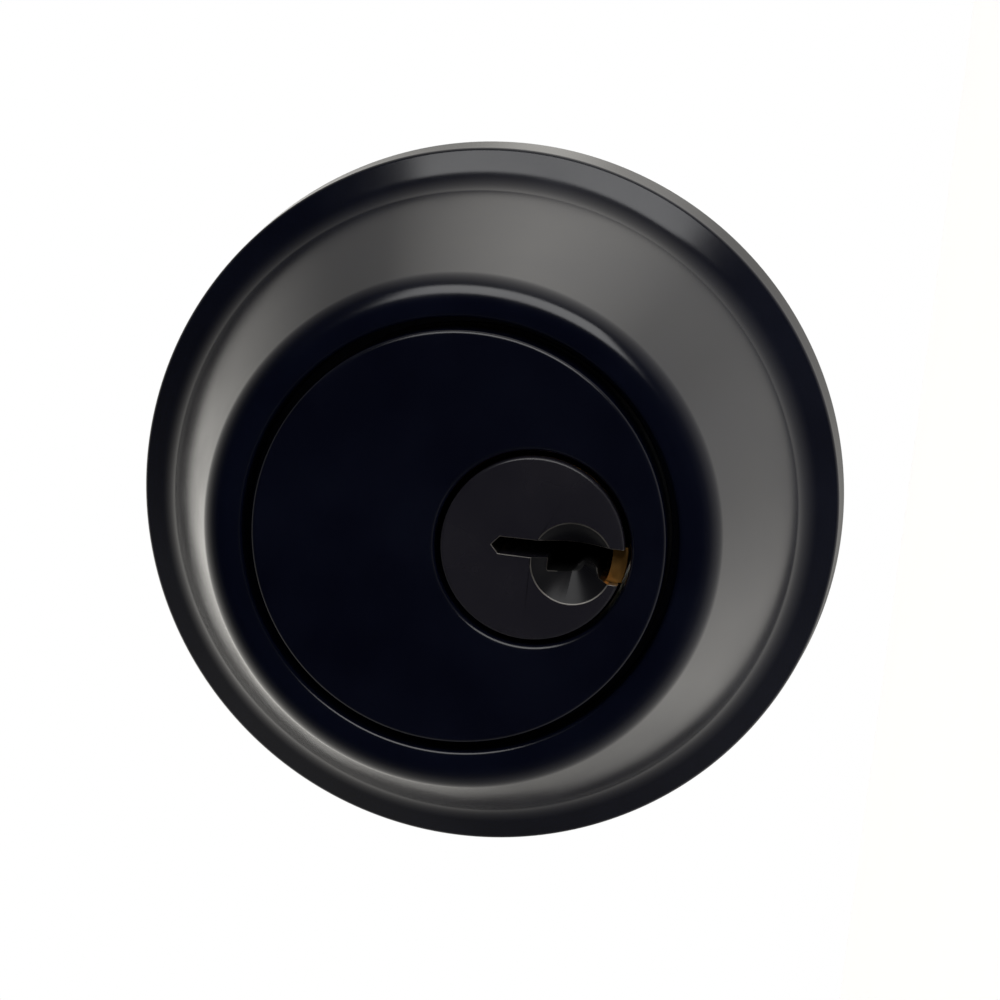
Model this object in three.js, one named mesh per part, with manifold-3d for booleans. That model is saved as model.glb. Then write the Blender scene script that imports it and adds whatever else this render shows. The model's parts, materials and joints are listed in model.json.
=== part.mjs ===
// Keyed exterior unit of a round deadbolt lock: guard collar, housing, pin-tumbler cylinder and tailpiece.
// Millimetres, +Z up. The lock's axis is Y. The door's outer face is the plane y = 0 and the lock faces -Y.
// Inside the lock group, y is the depth behind the front face of the housing's disc.

import * as THREE from "three";
import { mergeVertices } from "three/addons/utils/BufferGeometryUtils.js";
import Module from "manifold-3d";

const wasm = await Module();
wasm.setup();

// Driving dimensions
const PROJECTION = 23.4; // from the door's face to the front of the disc
const COLLAR_RADIUS = 31; // covers a 54 mm hole in the door
const RIM_RADIUS = 30.65; // the collar's side wall widens from here to the door
const DISC_RADIUS = 17; // the housing's flat front disc
const RECESS_RADIUS = 17.9; // the collar's recess around the disc
const LIP_DEPTH = 0.8; // the disc stands proud of the collar's lip by this
const BARREL_RADIUS = 15; // the housing behind its disc
const PLUG_DROP = 6.2; // the plug's axis lies this far below the lock's axis
const PLUG_RADIUS = 6.35;
const PLUG_HEAD_RADIUS = 7.5;
const PLUG_HOLE_RADIUS = 8; // the hole in the disc around the plug's head
const PLUG_PROUD = 0.2; // the plug's face stands proud of the disc by this
const SHELL_RADIUS = 7.7;
const PIN_COUNT = 5;
const PIN_PITCH = 3.96;
const PIN_RADIUS = 1.45;
const POST_SPACING = 38; // between the two screw posts
const TAILPIECE_END = 56; // behind the door's outer face
const CAST_GAP = 0.3; // between cast or pressed pieces
const RUNNING_GAP = 0.12; // between turning pieces
const CUT_PAST = 1; // a cutting solid runs past the piece by this

// Depths behind the disc's front face
const DISC_BACK = 3.8;
const RECESS_FLOOR = 4.6;
const COLLAR_WALL_BACK = 7.8;
const RING_FRONT = 8.1;
const RING_BACK = 10.6;
const SNAP_RING_FRONT = 10.9;
const SNAP_RING_BACK = 12.1;
const EAR_FRONT = 20.2;
const EAR_BACK = 27;
const HOUSING_BACK = 29;
const PLATE_FRONT = HOUSING_BACK + CAST_GAP;
const PLATE_BACK = PLATE_FRONT + 1.3;
const POST_BACK = 37.6;
const DISC_WEB = 2.2; // thickness of the housing in front of the cylinder shell's tower
const HEAD_BACK = 0.9; // back of the plug's head
const SHELL_FRONT = 1.2;
const TOWER_FRONT = DISC_WEB + CAST_GAP;
const TOWER_BACK = HOUSING_BACK - CAST_GAP;
const SHELL_BACK = 30.9;
const KEYWAY_END = 26.5;
const CLIP_FRONT = 31.2;
const CLIP_BACK = 32;
const PLUG_SHOULDER = 33;
const BOSS_BACK = 37;
const CAP_BACK = 38.5;

// Pin stacks: depths, heights above the plug's axis, and sizes
const FIRST_PIN = HEAD_BACK + 5.9;
const CHAMBER_RADIUS = PIN_RADIUS + 0.1;
const CHAMBER_FLOOR = -1.6;
const KEY_PIN_TOP = 6.1;
const KEY_PIN_LENGTHS = [4.2, 5.6, 4.8, 6.4, 5.2]; // one for each cut of the key
const DRIVER_BOTTOM = 6.5;
const DRIVER_LENGTH = 4.9;
const SPOOL_PINS = [1, 3]; // these drivers are waisted, against picking
const TOWER_TOP = 17.5;
const TOWER_HALF_WIDTH = 3.4;
const COVER_UNDERSIDE = 16.5;
const COVER_HALF_WIDTH = 2.3;
const COVER_FRONT = FIRST_PIN - 3.2;
const COVER_BACK = FIRST_PIN + (PIN_COUNT - 1) * PIN_PITCH + 3.2;
const SPRING_TURNS = 4;
const SPRING_WIRE = 0.2;
const SPRING_RADIUS = 1.05;
const SPRING_PLAY = 0.1; // at each end of a spring

// Tailpiece, its boss on the plug, screws, posts and drill pins
const TAILPIECE_SWING = THREE.MathUtils.degToRad(40);
const BLADE_HALF_THICKNESS = 1;
const BLADE_HALF_WIDTH = 3.2;
const BLADE_HEAD_HALF_WIDTH = 4.5;
const BOSS_RADIUS = 4.9;
const POST_RADIUS = 4;
const POST_THREAD = 2.5;
const DRILL_PIN_RADIUS = 1.2;
const DRILL_PIN_LENGTH = 11;
const DRILL_PIN_PLACE = [6.2, 6, 1.7]; // x, depth and the height of its lower end
const SCREW_RADIUS = 1.45;
const SCREW_PLACE = [9.5, 4.5]; // x and height

// Facets around a circle
const COLLAR_SIDES = 48;
const BARREL_SIDES = 48;
const PLUG_SIDES = 40;
const PIN_SIDES = 12;
const ARC_STEPS = 3;

const FINISHES = {
  black: { color: 0x0c0c10, roughness: 0.45, metalness: 0.6 },
  plugBlack: { color: 0x1c1b20, roughness: 0.4, metalness: 0.7 },
  brass: { color: 0xc9963f, roughness: 0.3, metalness: 1 },
  steel: { color: 0x9a9ca0, roughness: 0.35, metalness: 1 },
  zinc: { color: 0xb9bcc0, roughness: 0.4, metalness: 1 },
};

// A closed geometry as a solid. Faces of no area, which a lathe leaves on its axis, are dropped.
function solid(geometry) {
  geometry.deleteAttribute("normal");
  geometry.deleteAttribute("uv");
  const merged = mergeVertices(geometry, 1e-4);
  const corners = merged.index.array;
  const triangles = [];
  for (let i = 0; i < corners.length; i += 3) {
    const [a, b, c] = corners.slice(i, i + 3);
    if (a !== b && b !== c && c !== a) triangles.push(a, b, c);
  }
  const vertProperties = merged.attributes.position.array;
  const made = (triVerts) =>
    new wasm.Manifold(new wasm.Mesh({ numProp: 3, vertProperties, triVerts: new Uint32Array(triVerts) }));
  const body = made(triangles);
  return body.volume() < 0 ? made(triangles.reverse()) : body;
}

// A solid turned about Y, from an outline of [radius, y] points.
function turned(outline, sides) {
  const points = outline.map(([radius, y]) => new THREE.Vector2(radius, y));
  return solid(new THREE.LatheGeometry([...points, points[0].clone()], sides));
}

// A solid disc or rod along Y.
function rod(radius, from, to, sides, x = 0, z = 0) {
  const geometry = new THREE.CylinderGeometry(radius, radius, to - from, sides);
  return solid(geometry.translate(x, (from + to) / 2, z));
}

// A solid rod along Z.
function upright(radius, from, to, sides, x, y) {
  const geometry = new THREE.CylinderGeometry(radius, radius, to - from, sides);
  return solid(geometry.rotateX(Math.PI / 2).translate(x, y, (from + to) / 2));
}

// A flat shape drawn in X and Z, extruded along Y.
function prism(shape, from, to, curveSegments = 12) {
  const options = { depth: to - from, bevelEnabled: false, curveSegments };
  return solid(new THREE.ExtrudeGeometry(shape, options).rotateX(Math.PI / 2).translate(0, to, 0));
}

function block([x0, y0, z0], [x1, y1, z1]) {
  const geometry = new THREE.BoxGeometry(x1 - x0, y1 - y0, z1 - z0);
  return solid(geometry.translate((x0 + x1) / 2, (y0 + y1) / 2, (z0 + z1) / 2));
}

function mesh(name, body, finish) {
  const { vertProperties, triVerts } = body.getMesh();
  const geometry = new THREE.BufferGeometry();
  geometry.setAttribute("position", new THREE.BufferAttribute(vertProperties, 3));
  geometry.setIndex(new THREE.BufferAttribute(triVerts, 1));
  const made = new THREE.Mesh(geometry, new THREE.MeshStandardMaterial(FINISHES[finish]));
  made.name = name;
  return made;
}

// The flat C of a retaining ring, open at the bottom over the given angle.
function ringShape(inner, outer, gapAngle) {
  const start = -Math.PI / 2 + gapAngle / 2;
  const end = (3 * Math.PI) / 2 - gapAngle / 2;
  const shape = new THREE.Shape();
  shape.absarc(0, 0, outer, start, end, false);
  shape.absarc(0, 0, inner, end, start, true);
  return shape;
}

// A circle about the plug's axis with a square-topped tower, as the cylinder shell and its pocket have.
function keyholeShape(radius, halfWidth, top) {
  const corner = Math.acos(halfWidth / radius);
  const shape = new THREE.Shape();
  shape.moveTo(halfWidth, radius * Math.sin(corner));
  shape.lineTo(halfWidth, top);
  shape.lineTo(-halfWidth, top);
  shape.absarc(0, 0, radius, Math.PI - corner, 2 * Math.PI + corner, false);
  return shape;
}

// Guard collar: a flat lip, a round shoulder, a steep flank, a hollow foot, a sloping rim and a side wall.
function guardCollar() {
  const lipFillet = 0.45;
  const lipOuter = 19.05;
  const shoulder = 2.6;
  const shoulderTilt = THREE.MathUtils.degToRad(67.8);
  const flankFoot = [27.1, 16.25];
  const hollowControl = [27.59, 17.44];
  const rimStart = [28.9, 18.11];
  const rimTilt = THREE.MathUtils.degToRad(27.3);
  const rimEdge = 0.5;
  const rimEdgeDepth = 19.35;
  const backChamfer = 0.3;
  const bore = BARREL_RADIUS + 0.4;
  const skirtInner = 27.2;
  const hollowInner = 21.6;

  const path = new THREE.Path();
  path.moveTo(bore, COLLAR_WALL_BACK);
  path.lineTo(bore, RECESS_FLOOR);
  path.lineTo(RECESS_RADIUS, RECESS_FLOOR);
  path.absarc(RECESS_RADIUS + lipFillet, LIP_DEPTH + lipFillet, lipFillet, Math.PI, 1.5 * Math.PI, false);
  path.absarc(lipOuter, LIP_DEPTH + shoulder, shoulder, 1.5 * Math.PI, 1.5 * Math.PI + shoulderTilt, false);
  path.lineTo(...flankFoot);
  path.quadraticCurveTo(...hollowControl, ...rimStart);
  path.absarc(RIM_RADIUS - rimEdge, rimEdgeDepth, rimEdge, 1.5 * Math.PI + rimTilt, 2 * Math.PI, false);
  path.lineTo(COLLAR_RADIUS, PROJECTION - backChamfer);
  path.lineTo(COLLAR_RADIUS - backChamfer, PROJECTION);
  path.lineTo(skirtInner + backChamfer, PROJECTION);
  path.lineTo(skirtInner, PROJECTION - backChamfer);
  path.lineTo(skirtInner, 20.8);
  path.lineTo(24, 16.4);
  path.lineTo(hollowInner, 12.4);
  path.lineTo(hollowInner, COLLAR_WALL_BACK);
  const outline = path.getPoints(ARC_STEPS).map((p) => [p.x, p.y]);
  return turned(outline, COLLAR_SIDES);
}

function guardRing() {
  const inner = BARREL_RADIUS + 0.5;
  const outer = 21.2;
  const chamfer = 0.4;
  return turned(
    [
      [inner, RING_FRONT],
      [outer - chamfer, RING_FRONT],
      [outer, RING_FRONT + chamfer],
      [outer, RING_BACK],
      [inner, RING_BACK],
    ],
    BARREL_SIDES,
  );
}

// A flat ring pressed into waves, between the disc and the floor of the collar's recess.
function waveSpring() {
  const inner = 15.5;
  const outer = 17.2;
  const half = 0.125;
  const wave = 0.13;
  const waves = 3;
  const middle = (DISC_BACK + RECESS_FLOOR) / 2;
  const outline = [
    [inner, -half],
    [outer, -half],
    [outer, half],
    [inner, half],
    [inner, -half],
  ].map(([radius, y]) => new THREE.Vector2(radius, y));
  const geometry = new THREE.LatheGeometry(outline, BARREL_SIDES);
  const position = geometry.attributes.position;
  for (let i = 0; i < position.count; i++) {
    const angle = Math.atan2(position.getX(i), position.getZ(i));
    position.setY(i, position.getY(i) + middle + wave * Math.sin(waves * angle));
  }
  return solid(geometry);
}

function collarSnapRing() {
  const gap = THREE.MathUtils.degToRad(24);
  return prism(ringShape(14.3, 17.6, gap), SNAP_RING_FRONT, SNAP_RING_BACK, 24);
}

// The cast housing: disc, barrel with a snap-ring groove, two ears for the posts and the cylinder's pocket.
function cylinderHousing() {
  const edge = 0.45;
  const edgeMiddle = 0.13; // of a rounded edge, from each of its two faces
  const grooveRadius = 14;
  const groovePlay = 0.2;
  const backChamfer = 0.5;
  const body = turned(
    [
      [0, 0],
      [DISC_RADIUS - edge, 0],
      [DISC_RADIUS - edgeMiddle, edgeMiddle],
      [DISC_RADIUS, edge],
      [DISC_RADIUS, DISC_BACK],
      [BARREL_RADIUS, DISC_BACK],
      [BARREL_RADIUS, SNAP_RING_FRONT - groovePlay],
      [grooveRadius, SNAP_RING_FRONT - groovePlay],
      [grooveRadius, SNAP_RING_BACK + groovePlay],
      [BARREL_RADIUS, SNAP_RING_BACK + groovePlay],
      [BARREL_RADIUS, HOUSING_BACK - backChamfer],
      [BARREL_RADIUS - backChamfer, HOUSING_BACK],
      [0, HOUSING_BACK],
    ],
    BARREL_SIDES,
  );
  const ear = new THREE.Shape();
  const earRound = 5.2;
  const halfSpacing = POST_SPACING / 2;
  ear.absarc(halfSpacing, 0, earRound, -Math.PI / 2, Math.PI / 2, false);
  ear.absarc(-halfSpacing, 0, earRound, Math.PI / 2, 1.5 * Math.PI, false);
  const pocket = prism(
    keyholeShape(SHELL_RADIUS + CAST_GAP, TOWER_HALF_WIDTH + CAST_GAP, TOWER_TOP + 0.4),
    DISC_WEB,
    HOUSING_BACK + CUT_PAST,
  ).translate([0, 0, -PLUG_DROP]);
  const frontHole = turned(
    [
      [0, -CUT_PAST],
      [PLUG_HOLE_RADIUS + edge, -CUT_PAST],
      [PLUG_HOLE_RADIUS + edge, 0],
      [PLUG_HOLE_RADIUS + edgeMiddle, edgeMiddle],
      [PLUG_HOLE_RADIUS, edge],
      [PLUG_HOLE_RADIUS, DISC_WEB + 0.5],
      [0, DISC_WEB + 0.5],
    ],
    PLUG_SIDES,
  ).translate([0, 0, -PLUG_DROP]);
  let housing = body.add(prism(ear, EAR_FRONT, EAR_BACK, 8)).subtract(pocket).subtract(frontHole);

  const threadRadius = POST_THREAD + CAST_GAP;
  const threadFront = EAR_BACK - 5;
  const screwRadius = SCREW_RADIUS + 0.15;
  const screwFront = HOUSING_BACK - 6.5;
  const drillRadius = DRILL_PIN_RADIUS + 0.1;
  const [screwX, screwZ] = SCREW_PLACE;
  const [drillX, drillDepth, drillLow] = DRILL_PIN_PLACE;
  const drillTop = drillLow + DRILL_PIN_LENGTH + 3.3;
  for (const side of [-1, 1]) {
    const threadHole = rod(threadRadius, threadFront, EAR_BACK + CUT_PAST, 16, side * halfSpacing);
    const screwHole = rod(screwRadius, screwFront, HOUSING_BACK + CUT_PAST, PIN_SIDES, side * screwX, screwZ);
    const drillHole = upright(drillRadius, drillLow - 0.2, drillTop, PIN_SIDES, side * drillX, drillDepth);
    housing = housing.subtract(threadHole).subtract(screwHole).subtract(drillHole);
  }
  return housing;
}

const pinDepth = (index) => FIRST_PIN + index * PIN_PITCH;

// Brass shell of the cylinder, in the plug's frame: a bored barrel with a tower for the pin stacks.
function cylinderShell() {
  const coverGroove = block(
    [-COVER_HALF_WIDTH - CAST_GAP, COVER_FRONT - CAST_GAP, COVER_UNDERSIDE - 0.1],
    [COVER_HALF_WIDTH + CAST_GAP, COVER_BACK + CAST_GAP, TOWER_TOP + CUT_PAST],
  );
  let shell = prism(keyholeShape(SHELL_RADIUS, TOWER_HALF_WIDTH, TOWER_TOP), TOWER_FRONT, TOWER_BACK)
    .add(rod(SHELL_RADIUS, SHELL_FRONT, SHELL_BACK, PLUG_SIDES))
    .subtract(rod(PLUG_RADIUS + RUNNING_GAP, 0, SHELL_BACK + CUT_PAST, PLUG_SIDES))
    .subtract(coverGroove);
  const chamberBottom = PLUG_RADIUS - 2;
  for (let i = 0; i < PIN_COUNT; i++) {
    const chamber = upright(CHAMBER_RADIUS, chamberBottom, TOWER_TOP + CUT_PAST, PIN_SIDES, 0, pinDepth(i));
    shell = shell.subtract(chamber);
  }
  return shell;
}

const chamberCover = () =>
  block([-COVER_HALF_WIDTH, COVER_FRONT, COVER_UNDERSIDE], [COVER_HALF_WIDTH, COVER_BACK, TOWER_TOP]);

// Section of the keyway, from its roof down to its open bottom, in X and Z about the plug's axis.
function keywayShape() {
  const roof = 3.32;
  const slot = 0.7; // half the width of the upper slot
  const mouth = PLUG_HEAD_RADIUS + 1.5; // past the plug's head
  const shape = new THREE.Shape();
  shape.moveTo(-0.04, roof);
  shape.lineTo(-slot, 2.7);
  shape.lineTo(-slot, -1.2);
  shape.lineTo(-1.75, -1.3);
  shape.lineTo(-1.8, -2.9);
  shape.quadraticCurveTo(-1.65, -3.5, -1.1, -3.65);
  shape.quadraticCurveTo(-0.3, -4.5, -0.9, -5.2);
  shape.lineTo(-1.8, -5.5);
  shape.lineTo(-2.1, -6.4);
  shape.lineTo(-2.1, -mouth);
  shape.lineTo(0.85, -mouth);
  shape.lineTo(0.8, -4);
  shape.lineTo(slot, 2.7);
  return shape;
}

// Two opposed sectors about the plug's axis, where the tailpiece's head swings.
function swingShape(halfThickness, halfAngle, reach) {
  const waist = halfThickness / Math.cos(halfAngle);
  const spread = waist + reach * Math.tan(halfAngle);
  const shape = new THREE.Shape();
  shape.moveTo(waist, 0);
  shape.lineTo(spread, reach);
  shape.lineTo(-spread, reach);
  shape.lineTo(-waist, 0);
  shape.lineTo(-spread, -reach);
  shape.lineTo(spread, -reach);
  return shape;
}

// The plug, in its own frame: head, body, clip groove and a boss that drives the tailpiece.
function keyPlug() {
  const clipGroove = 5.5;
  const clipPlay = 0.15;
  const edge = 0.3;
  const edgeMiddle = 0.08; // of the head's rounded edge, from each of its two faces
  let plug = turned(
    [
      [0, -PLUG_PROUD],
      [PLUG_HEAD_RADIUS - edge, -PLUG_PROUD],
      [PLUG_HEAD_RADIUS - edgeMiddle, edgeMiddle - PLUG_PROUD],
      [PLUG_HEAD_RADIUS, edge - PLUG_PROUD],
      [PLUG_HEAD_RADIUS, HEAD_BACK],
      [PLUG_RADIUS, HEAD_BACK],
      [PLUG_RADIUS, CLIP_FRONT - clipPlay],
      [clipGroove, CLIP_FRONT - clipPlay],
      [clipGroove, CLIP_BACK + clipPlay],
      [PLUG_RADIUS, CLIP_BACK + clipPlay],
      [PLUG_RADIUS, PLUG_SHOULDER],
      [BOSS_RADIUS, PLUG_SHOULDER],
      [BOSS_RADIUS, BOSS_BACK],
      [0, BOSS_BACK],
    ],
    PLUG_SIDES,
  );
  const guideRadius = 3.33;
  const guideBottom = 0.9;
  const guideDepth = 1.9;
  const guidePlace = [-0.8, 0, -3.32];
  const guideOver = 0.2;
  const guide = turned(
    [
      [0, -PLUG_PROUD - guideOver],
      [guideRadius + guideOver, -PLUG_PROUD - guideOver],
      [guideRadius, -PLUG_PROUD],
      [guideBottom, guideDepth - PLUG_PROUD],
      [0, guideDepth - PLUG_PROUD],
    ],
    32,
  ).translate(guidePlace);
  const keyway = prism(keywayShape(), -PLUG_PROUD - CUT_PAST, KEYWAY_END, 3);
  const swing = prism(
    swingShape(BLADE_HALF_THICKNESS + CAST_GAP, TAILPIECE_SWING, BOSS_RADIUS + CUT_PAST),
    PLUG_SHOULDER + 0.4,
    BOSS_BACK + CUT_PAST,
  );
  plug = plug.subtract(guide).subtract(keyway).subtract(swing);
  for (let i = 0; i < PIN_COUNT; i++) {
    const chamber = upright(CHAMBER_RADIUS, CHAMBER_FLOOR, PLUG_RADIUS + CUT_PAST, PIN_SIDES, 0, pinDepth(i));
    plug = plug.subtract(chamber);
  }
  return plug;
}

// A key pin about its own Y axis, from its tip at the bottom to its crowned top.
function keyPin(length) {
  const tip = 0.9;
  const tipRadius = 0.4;
  const crown = 0.2;
  const crownRadius = PIN_RADIUS - 0.35;
  return turned(
    [
      [0, 0],
      [tipRadius, 0],
      [PIN_RADIUS, tip],
      [PIN_RADIUS, length - crown],
      [crownRadius, length],
      [0, length],
    ],
    PIN_SIDES,
  );
}

// A driver pin about its own Y axis. A spool is waisted between its two ends.
function driverPin(isSpool) {
  const waist = 0.95;
  const chamfer = 0.2;
  const end = 1;
  const step = 0.3;
  const spool = [
    [PIN_RADIUS, end],
    [waist, end + step],
    [waist, DRIVER_LENGTH - end - step],
    [PIN_RADIUS, DRIVER_LENGTH - end],
  ];
  return turned(
    [
      [0, 0],
      [PIN_RADIUS - chamfer, 0],
      [PIN_RADIUS, chamfer],
      ...(isSpool ? spool : []),
      [PIN_RADIUS, DRIVER_LENGTH - chamfer],
      [PIN_RADIUS - chamfer, DRIVER_LENGTH],
      [0, DRIVER_LENGTH],
    ],
    PIN_SIDES,
  );
}

// A coil of round wire about its own Y axis.
function pinSpring(height) {
  class Coil extends THREE.Curve {
    getPoint(t, target = new THREE.Vector3()) {
      const angle = 2 * Math.PI * SPRING_TURNS * t;
      return target.set(SPRING_RADIUS * Math.cos(angle), height * t, SPRING_RADIUS * Math.sin(angle));
    }
  }
  const wire = new THREE.Shape().absarc(0, 0, SPRING_WIRE, 0, 2 * Math.PI, false);
  const stepsPerTurn = 8;
  const options = { steps: SPRING_TURNS * stepsPerTurn, extrudePath: new Coil(), curveSegments: 3 };
  return solid(new THREE.ExtrudeGeometry(wire, options));
}

function plugClip() {
  const gap = THREE.MathUtils.degToRad(70);
  return prism(ringShape(5.65, 7.9, gap), CLIP_FRONT, CLIP_BACK, 16);
}

// The threaded cap that holds the tailpiece's head in the boss.
function tailpieceCap() {
  const inner = BOSS_RADIUS + 0.15;
  const outer = 6.3;
  const hole = 3.8;
  const front = PLUG_SHOULDER + 0.25;
  const wallFront = BOSS_BACK + 0.25;
  const chamfer = 0.3;
  return turned(
    [
      [inner, front],
      [outer, front],
      [outer, CAP_BACK - chamfer],
      [outer - chamfer, CAP_BACK],
      [hole, CAP_BACK],
      [hole, wallFront],
      [inner, wallFront],
    ],
    32,
  );
}

// The flat bar that turns the bolt, with a wider head inside the cap and a tapered end.
function tailpiece() {
  const headFront = PLUG_SHOULDER + 0.7;
  const headBack = BOSS_BACK - 0.1;
  const end = TAILPIECE_END + PROJECTION;
  const taper = 2.5;
  const endHalfWidth = BLADE_HALF_WIDTH - 1.2;
  const shape = new THREE.Shape();
  shape.moveTo(-BLADE_HEAD_HALF_WIDTH, headFront);
  shape.lineTo(BLADE_HEAD_HALF_WIDTH, headFront);
  shape.lineTo(BLADE_HEAD_HALF_WIDTH, headBack);
  shape.lineTo(BLADE_HALF_WIDTH, headBack);
  shape.lineTo(BLADE_HALF_WIDTH, end - taper);
  shape.lineTo(endHalfWidth, end);
  shape.lineTo(-endHalfWidth, end);
  shape.lineTo(-BLADE_HALF_WIDTH, end - taper);
  shape.lineTo(-BLADE_HALF_WIDTH, headBack);
  shape.lineTo(-BLADE_HEAD_HALF_WIDTH, headBack);
  const options = { depth: 2 * BLADE_HALF_THICKNESS, bevelEnabled: false };
  const geometry = new THREE.ExtrudeGeometry(shape, options).translate(0, 0, -BLADE_HALF_THICKNESS);
  return solid(geometry.rotateY(Math.PI / 2));
}

// The plate behind the housing that keeps the cylinder shell in its pocket.
function retainerPlate() {
  const radius = 13.9;
  const front = PLATE_FRONT - CUT_PAST;
  const back = PLATE_BACK + CUT_PAST;
  const cylinderHole = rod(SHELL_RADIUS + CAST_GAP, front, back, PLUG_SIDES, 0, -PLUG_DROP);
  let plate = rod(radius, PLATE_FRONT, PLATE_BACK, BARREL_SIDES).subtract(cylinderHole);
  const [screwX, screwZ] = SCREW_PLACE;
  for (const side of [-1, 1]) {
    plate = plate.subtract(rod(SCREW_RADIUS + 0.2, front, back, PIN_SIDES, side * screwX, screwZ));
  }
  return plate;
}

// A pan-head screw about its own Y axis, its shank running forward from the plate.
function retainerScrew() {
  const tip = HOUSING_BACK - 6;
  const tipLength = 0.6;
  const headRadius = 2.7;
  const headFront = PLATE_BACK + 0.15;
  const headBack = headFront + 1.7;
  const screw = turned(
    [
      [0, tip],
      [SCREW_RADIUS - 0.4, tip],
      [SCREW_RADIUS, tip + tipLength],
      [SCREW_RADIUS, headFront],
      [headRadius, headFront],
      [headRadius, headFront + 0.8],
      [headRadius * 0.72, headBack - 0.2],
      [headRadius * 0.35, headBack],
      [0, headBack],
    ],
    16,
  );
  const slotHalf = 0.35;
  const slotEnd = 1.7;
  const slotFront = headBack - 1;
  const slotBack = headBack + CUT_PAST;
  const across = block([-slotEnd, slotFront, -slotHalf], [slotEnd, slotBack, slotHalf]);
  const upDown = block([-slotHalf, slotFront, -slotEnd], [slotHalf, slotBack, slotEnd]);
  return screw.subtract(across).subtract(upDown);
}

// A round post about its own Y axis, screwed into the housing's ear and tapped for the through screw.
function mountingPost() {
  const shankFront = EAR_BACK - 4.6;
  const front = EAR_BACK + 0.15;
  const tapped = 2.1;
  const tapFront = EAR_BACK + 1;
  const drillTip = EAR_BACK + 0.2;
  const chamfer = 0.4;
  return turned(
    [
      [0, shankFront],
      [POST_THREAD, shankFront],
      [POST_THREAD, front],
      [POST_RADIUS, front],
      [POST_RADIUS, POST_BACK - chamfer],
      [POST_RADIUS - chamfer, POST_BACK],
      [tapped, POST_BACK],
      [tapped, tapFront],
      [0, drillTip],
    ],
    20,
  );
}

function drillPin() {
  return turned(
    [
      [0, 0],
      [DRILL_PIN_RADIUS, 0],
      [DRILL_PIN_RADIUS, DRILL_PIN_LENGTH],
      [0, DRILL_PIN_LENGTH],
    ],
    PIN_SIDES,
  );
}

// Stands a piece that was turned about Y upright on a height, over the plug's axis.
function stand(piece, depth, height) {
  piece.rotation.x = Math.PI / 2;
  piece.position.set(0, depth, height);
  return piece;
}

const lock = new THREE.Group();
lock.position.y = -PROJECTION;
const plugAxis = new THREE.Group();
plugAxis.position.z = -PLUG_DROP;
lock.add(plugAxis);

lock.add(
  mesh("guard_collar", guardCollar(), "black"),
  mesh("guard_ring", guardRing(), "steel"),
  mesh("collar_wave_spring", waveSpring(), "steel"),
  mesh("collar_snap_ring", collarSnapRing(), "steel"),
  mesh("cylinder_housing", cylinderHousing(), "black"),
  mesh("retainer_plate", retainerPlate(), "zinc"),
);
for (const [side, sign] of [["left", -1], ["right", 1]]) {
  const [drillX, drillDepth, drillLow] = DRILL_PIN_PLACE;
  const drill = mesh("drill_pin_" + side, drillPin(), "steel");
  drill.rotation.x = Math.PI / 2;
  drill.position.set(sign * drillX, drillDepth, drillLow);
  const screw = mesh("retainer_screw_" + side, retainerScrew(), "zinc");
  screw.position.set(sign * SCREW_PLACE[0], 0, SCREW_PLACE[1]);
  const post = mesh("mounting_post_" + side, mountingPost(), "zinc");
  post.position.x = (sign * POST_SPACING) / 2;
  lock.add(drill, screw, post);
}

plugAxis.add(
  mesh("cylinder_shell", cylinderShell(), "brass"),
  mesh("chamber_cover", chamberCover(), "brass"),
  mesh("key_plug", keyPlug(), "plugBlack"),
  mesh("plug_clip", plugClip(), "steel"),
  mesh("tailpiece_cap", tailpieceCap(), "brass"),
  mesh("tailpiece", tailpiece(), "zinc"),
);
const springStart = DRIVER_BOTTOM + DRIVER_LENGTH + SPRING_WIRE + SPRING_PLAY;
const springHeight = COVER_UNDERSIDE - SPRING_WIRE - SPRING_PLAY - springStart;
for (let i = 0; i < PIN_COUNT; i++) {
  const length = KEY_PIN_LENGTHS[i];
  const number = i + 1;
  const isSpool = SPOOL_PINS.includes(i);
  plugAxis.add(
    stand(mesh("key_pin_" + number, keyPin(length), "brass"), pinDepth(i), KEY_PIN_TOP - length),
    stand(mesh("driver_pin_" + number, driverPin(isSpool), "zinc"), pinDepth(i), DRIVER_BOTTOM),
    stand(mesh("pin_spring_" + number, pinSpring(springHeight), "steel"), pinDepth(i), springStart),
  );
}

export default lock;
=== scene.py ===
"""Looks of a deadbolt's keyed exterior unit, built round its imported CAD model.

The row frame is in metres, with +Z up and the keyed face towards -Y. Outlines here are in millimetres:
a radius or x, a depth behind the housing's front disc, and a height z.
"""

import json
import math

import bmesh
import bpy
from mathutils import Matrix, Vector

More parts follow.
